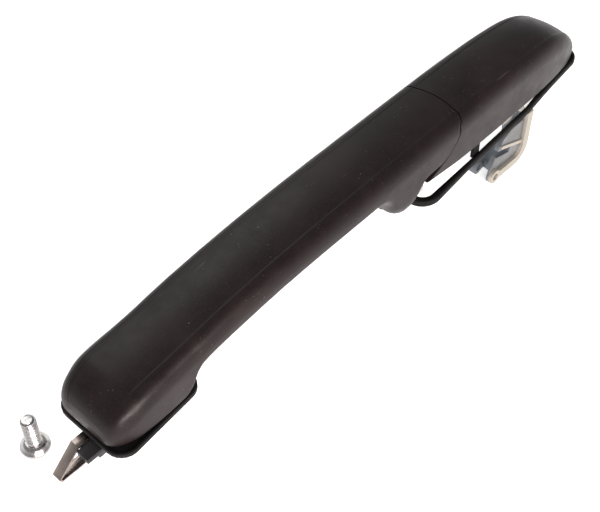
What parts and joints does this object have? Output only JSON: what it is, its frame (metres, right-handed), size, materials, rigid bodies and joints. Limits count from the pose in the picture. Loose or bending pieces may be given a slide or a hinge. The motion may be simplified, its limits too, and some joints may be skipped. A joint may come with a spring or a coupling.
{
  "type": "car door handle",
  "caption": "Pull-type outside car door handle: hinged strap grip, fixed rear cap, seat gaskets, spring clip, die-cast release lever with rod eye, and a loose fixing bolt.",
  "frame": {"origin": "centre of the front seat on the door skin's outer surface, under the front gasket", "axes": "+X from the nose to the rear cap, +Z away from the door skin, +Y across the handle"},
  "size_m": [0.2988, 0.0538, 0.0671],
  "materials": {
    "satin_black_plastic": "fine-grained satin moulding, slightly faded",
    "cover_plastic": "matt moulding",
    "filled_nylon": "glass-filled, dull",
    "base_nylon": "glass-filled, dull, dusty",
    "gasket_rubber": "dull moulded rubber",
    "plated_steel": "zinc plated",
    "spring_steel": "bright rolled strip",
    "zinc_casting": "passivated die casting with a yellowish tint on the rims",
    "bush_acetal": "natural acetal",
    "bright_zinc_plate": "bright zinc plate"
  },
  "bodies": {
    "mounting": {"front_base": "base_nylon", "hinge_bushes": "bush_acetal", "front_gasket": "gasket_rubber", "spring_clip": "spring_steel", "cap_shell": "satin_black_plastic", "cap_frame": "filled_nylon", "cap_screws": "plated_steel", "rear_gasket": "gasket_rubber", "carrier": "zinc_casting", "thread_insert": "plated_steel", "lever_pin": "plated_steel", "pin_clip": "spring_steel", "lever_spring": "spring_steel"},
    "grip": {"grip_shell": "satin_black_plastic", "grip_cover": "cover_plastic", "grip_core": "filled_nylon", "pull_hook": "plated_steel", "hook_screws": "plated_steel", "hinge_pin": "plated_steel", "rear_foot_buffer": "gasket_rubber"},
    "lever": {"release_lever": "zinc_casting", "lever_bushes": "bush_acetal", "tip_sleeve": "bush_acetal"},
    "bolt": {"fixing_bolt": "bright_zinc_plate"}
  },
  "joints": [
    {"name": "grip_pull", "type": "hinge", "parent": "mounting", "child": "grip", "pos_m": [-0.012, 0, 0.0076], "axis": [0, -1, 0], "range_deg": [0, 8], "stiffness_Nm_per_rad": 1.5, "springref_deg": -5.73},
    {"name": "lever_swing", "type": "hinge", "parent": "mounting", "child": "lever", "pos_m": [0.226, 0, 0.004], "axis": [0, 1, 0], "range_deg": [0, 20.4], "deforming": ["lever_spring"]},
    {"name": "bolt_lift", "type": "slide", "parent": "mounting", "child": "bolt", "axis": [0, 0, 1], "range_m": [0, 0.05]}
  ],
  "couplings": [
    {"joint": "lever_swing", "follows": "grip_pull", "ratio": 2.54}
  ]
}
